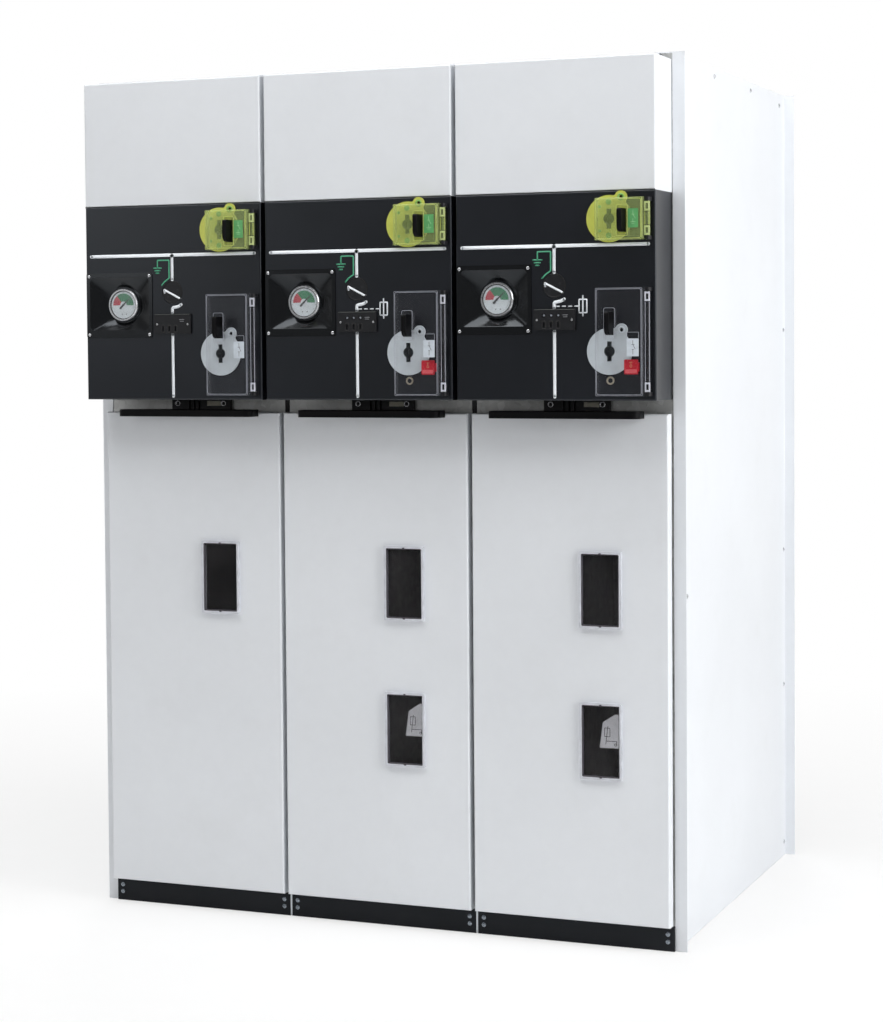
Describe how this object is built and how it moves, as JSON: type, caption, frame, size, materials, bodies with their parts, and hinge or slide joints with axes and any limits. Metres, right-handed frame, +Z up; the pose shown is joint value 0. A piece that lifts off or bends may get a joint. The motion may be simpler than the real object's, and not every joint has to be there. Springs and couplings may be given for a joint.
{
  "type": "high voltage switchgear cabinet",
  "caption": "Row of floor-standing switchgear cubicles: lift-off doors with windows, control panels with gauge, indicator and hinged flaps over lockable lever sockets.",
  "frame": {"origin": "middle of the bounding box's footprint, on the floor", "axes": "+X to the right seen from the front, the front faces -Y, +Z up"},
  "size_m": [1.165, 0.983, 1.585],
  "materials": {
    "white_paint": "semi-gloss powder coat",
    "zinc_steel": "zinc plated sheet",
    "black_rubber": "matt",
    "black_paint": "semi-matt powder coat",
    "black_plastic": "moulded",
    "grey_plastic": "moulded",
    "gauge_metal": "polished ring",
    "yellow_plastic": "translucent",
    "yellow_disc_plastic": "translucent",
    "clear_plastic": "clear",
    "frosted_plastic": "frosted",
    "red_plastic": "moulded",
    "window_glass": "clear"
  },
  "bodies": {
    "root": {"end_panel_left": "white_paint", "end_panel_right": "white_paint", "corner_posts": "zinc_steel", "bay_walls": "zinc_steel", "roof_panels": "white_paint", "floor_panels": "zinc_steel", "rear_panels": "white_paint", "joint_seals": "black_rubber", "front_frames": "zinc_steel", "plinths": "black_paint", "terminal_blocks": "black_plastic", "gauge_plates": "black_plastic", "pressure_gauges": "gauge_metal", "voltage_indicators": "black_plastic", "flap_hinges": "black_plastic", "label_plates": "grey_plastic", "top_cover_1": "white_paint", "control_panel_1": "black_paint", "top_cover_2": "white_paint", "control_panel_2": "black_paint", "top_cover_3": "white_paint", "control_panel_3": "black_paint"},
    "door_1": {"door_1": "white_paint", "door_handle_1": "black_plastic", "window_frames_1": "grey_plastic", "window_panes_1": "window_glass"},
    "earthing_flap_1": {"earthing_flap_1": "yellow_plastic", "earthing_flap_grip_1": "black_plastic"},
    "switch_flap_1": {"switch_flap_1": "clear_plastic", "switch_flap_grip_1": "black_plastic"},
    "earthing_lock_disc_1": {"earthing_lock_disc_1": "yellow_disc_plastic"},
    "switch_lock_disc_1": {"switch_lock_disc_1": "frosted_plastic"},
    "position_indicator_1": {"position_indicator_1": "black_plastic"},
    "door_2": {"door_2": "white_paint", "door_handle_2": "black_plastic", "window_frames_2": "grey_plastic", "window_panes_2": "window_glass"},
    "earthing_flap_2": {"earthing_flap_2": "yellow_plastic", "earthing_flap_grip_2": "black_plastic"},
    "switch_flap_2": {"switch_flap_2": "clear_plastic", "switch_flap_grip_2": "black_plastic"},
    "earthing_lock_disc_2": {"earthing_lock_disc_2": "yellow_disc_plastic"},
    "switch_lock_disc_2": {"switch_lock_disc_2": "frosted_plastic"},
    "position_indicator_2": {"position_indicator_2": "black_plastic"},
    "trip_button_2": {"trip_button_2": "red_plastic"},
    "door_3": {"door_3": "white_paint", "door_handle_3": "black_plastic", "window_frames_3": "grey_plastic", "window_panes_3": "window_glass"},
    "earthing_flap_3": {"earthing_flap_3": "yellow_plastic", "earthing_flap_grip_3": "black_plastic"},
    "switch_flap_3": {"switch_flap_3": "clear_plastic", "switch_flap_grip_3": "black_plastic"},
    "earthing_lock_disc_3": {"earthing_lock_disc_3": "yellow_disc_plastic"},
    "switch_lock_disc_3": {"switch_lock_disc_3": "frosted_plastic"},
    "position_indicator_3": {"position_indicator_3": "black_plastic"},
    "trip_button_3": {"trip_button_3": "red_plastic"}
  },
  "joints": [
    {"name": "door_1_lift", "type": "slide", "parent": "root", "child": "door_1", "axis": [0, 0, 1], "range_m": [0, 0.014]},
    {"name": "earthing_flap_1_hinge", "type": "hinge", "parent": "root", "child": "earthing_flap_1", "pos_m": [-0.2025, -0.4605, 1.2545], "axis": [0, 0, 1], "range_deg": [0, 110]},
    {"name": "switch_flap_1_hinge", "type": "hinge", "parent": "root", "child": "switch_flap_1", "pos_m": [-0.2025, -0.4605, 0.9865], "axis": [0, 0, 1], "range_deg": [0, 110]},
    {"name": "earthing_lock_disc_1_turn", "type": "hinge", "parent": "root", "child": "earthing_lock_disc_1", "pos_m": [-0.2741, -0.4485, 1.292], "axis": [0, -1, 0], "range_deg": [0, 90]},
    {"name": "switch_lock_disc_1_turn", "type": "hinge", "parent": "root", "child": "switch_lock_disc_1", "pos_m": [-0.2741, -0.4485, 1.0635], "axis": [0, -1, 0], "range_deg": [0, 90]},
    {"name": "position_indicator_1_turn", "type": "hinge", "parent": "root", "child": "position_indicator_1", "pos_m": [-0.375, -0.4485, 1.1785], "axis": [0, 1, 0], "range_deg": [0, 60]},
    {"name": "door_2_lift", "type": "slide", "parent": "root", "child": "door_2", "axis": [0, 0, 1], "range_m": [0, 0.014]},
    {"name": "earthing_flap_2_hinge", "type": "hinge", "parent": "root", "child": "earthing_flap_2", "pos_m": [0.1725, -0.4605, 1.2545], "axis": [0, 0, 1], "range_deg": [0, 110]},
    {"name": "switch_flap_2_hinge", "type": "hinge", "parent": "root", "child": "switch_flap_2", "pos_m": [0.1725, -0.4605, 0.9865], "axis": [0, 0, 1], "range_deg": [0, 110]},
    {"name": "earthing_lock_disc_2_turn", "type": "hinge", "parent": "root", "child": "earthing_lock_disc_2", "pos_m": [0.1009, -0.4485, 1.292], "axis": [0, -1, 0], "range_deg": [0, 90]},
    {"name": "switch_lock_disc_2_turn", "type": "hinge", "parent": "root", "child": "switch_lock_disc_2", "pos_m": [0.1009, -0.4485, 1.0635], "axis": [0, -1, 0], "range_deg": [0, 90]},
    {"name": "position_indicator_2_turn", "type": "hinge", "parent": "root", "child": "position_indicator_2", "pos_m": [0, -0.4485, 1.1785], "axis": [0, 1, 0], "range_deg": [0, 60]},
    {"name": "trip_button_2_push", "type": "slide", "parent": "root", "child": "trip_button_2", "axis": [0, 1, 0], "range_m": [0, 0.004], "stiffness_N_per_m": 400, "springref_m": -0.002},
    {"name": "door_3_lift", "type": "slide", "parent": "root", "child": "door_3", "axis": [0, 0, 1], "range_m": [0, 0.014]},
    {"name": "earthing_flap_3_hinge", "type": "hinge", "parent": "root", "child": "earthing_flap_3", "pos_m": [0.5475, -0.4605, 1.2545], "axis": [0, 0, 1], "range_deg": [0, 110]},
    {"name": "switch_flap_3_hinge", "type": "hinge", "parent": "root", "child": "switch_flap_3", "pos_m": [0.5475, -0.4605, 0.9865], "axis": [0, 0, 1], "range_deg": [0, 110]},
    {"name": "earthing_lock_disc_3_turn", "type": "hinge", "parent": "root", "child": "earthing_lock_disc_3", "pos_m": [0.4759, -0.4485, 1.292], "axis": [0, -1, 0], "range_deg": [0, 90]},
    {"name": "switch_lock_disc_3_turn", "type": "hinge", "parent": "root", "child": "switch_lock_disc_3", "pos_m": [0.4759, -0.4485, 1.0635], "axis": [0, -1, 0], "range_deg": [0, 90]},
    {"name": "position_indicator_3_turn", "type": "hinge", "parent": "root", "child": "position_indicator_3", "pos_m": [0.375, -0.4485, 1.1785], "axis": [0, 1, 0], "range_deg": [0, 60]},
    {"name": "trip_button_3_push", "type": "slide", "parent": "root", "child": "trip_button_3", "axis": [0, 1, 0], "range_m": [0, 0.004], "stiffness_N_per_m": 400, "springref_m": -0.002}
  ]
}
